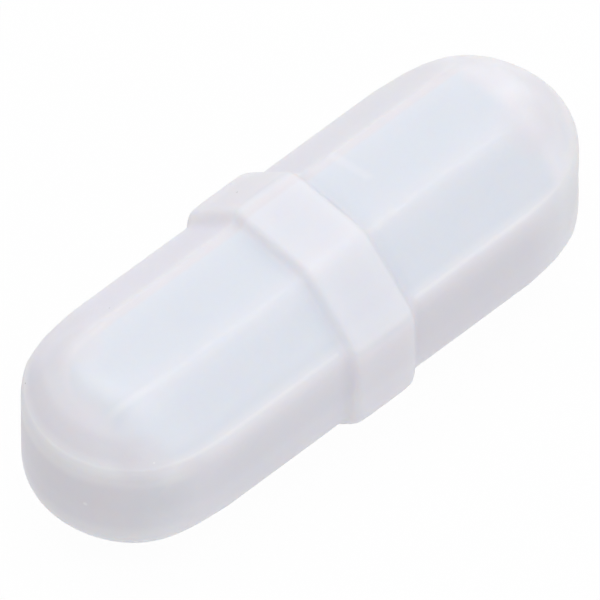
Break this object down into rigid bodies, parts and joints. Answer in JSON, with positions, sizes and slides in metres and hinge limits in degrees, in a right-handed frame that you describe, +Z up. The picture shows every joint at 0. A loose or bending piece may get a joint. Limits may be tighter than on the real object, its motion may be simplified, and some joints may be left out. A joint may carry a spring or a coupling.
{
  "type": "magnetic stir bar",
  "caption": "Octagonal magnetic stir bar with domed ends and a raised pivot ring round its middle, its magnet sealed inside.",
  "frame": {"origin": "middle of the lower flat of the pivot ring, which the bar rests on", "axes": "+X along the bar, +Y across it, +Z up"},
  "size_m": [0.03, 0.0114, 0.0109],
  "materials": {
    "fluoropolymer_jacket": "satin, slightly translucent moulded white",
    "magnet_alloy": "ground, dull grey"
  },
  "bodies": {
    "root": {"jacket": "fluoropolymer_jacket", "magnet_core": "magnet_alloy"}
  },
  "joints": []
}
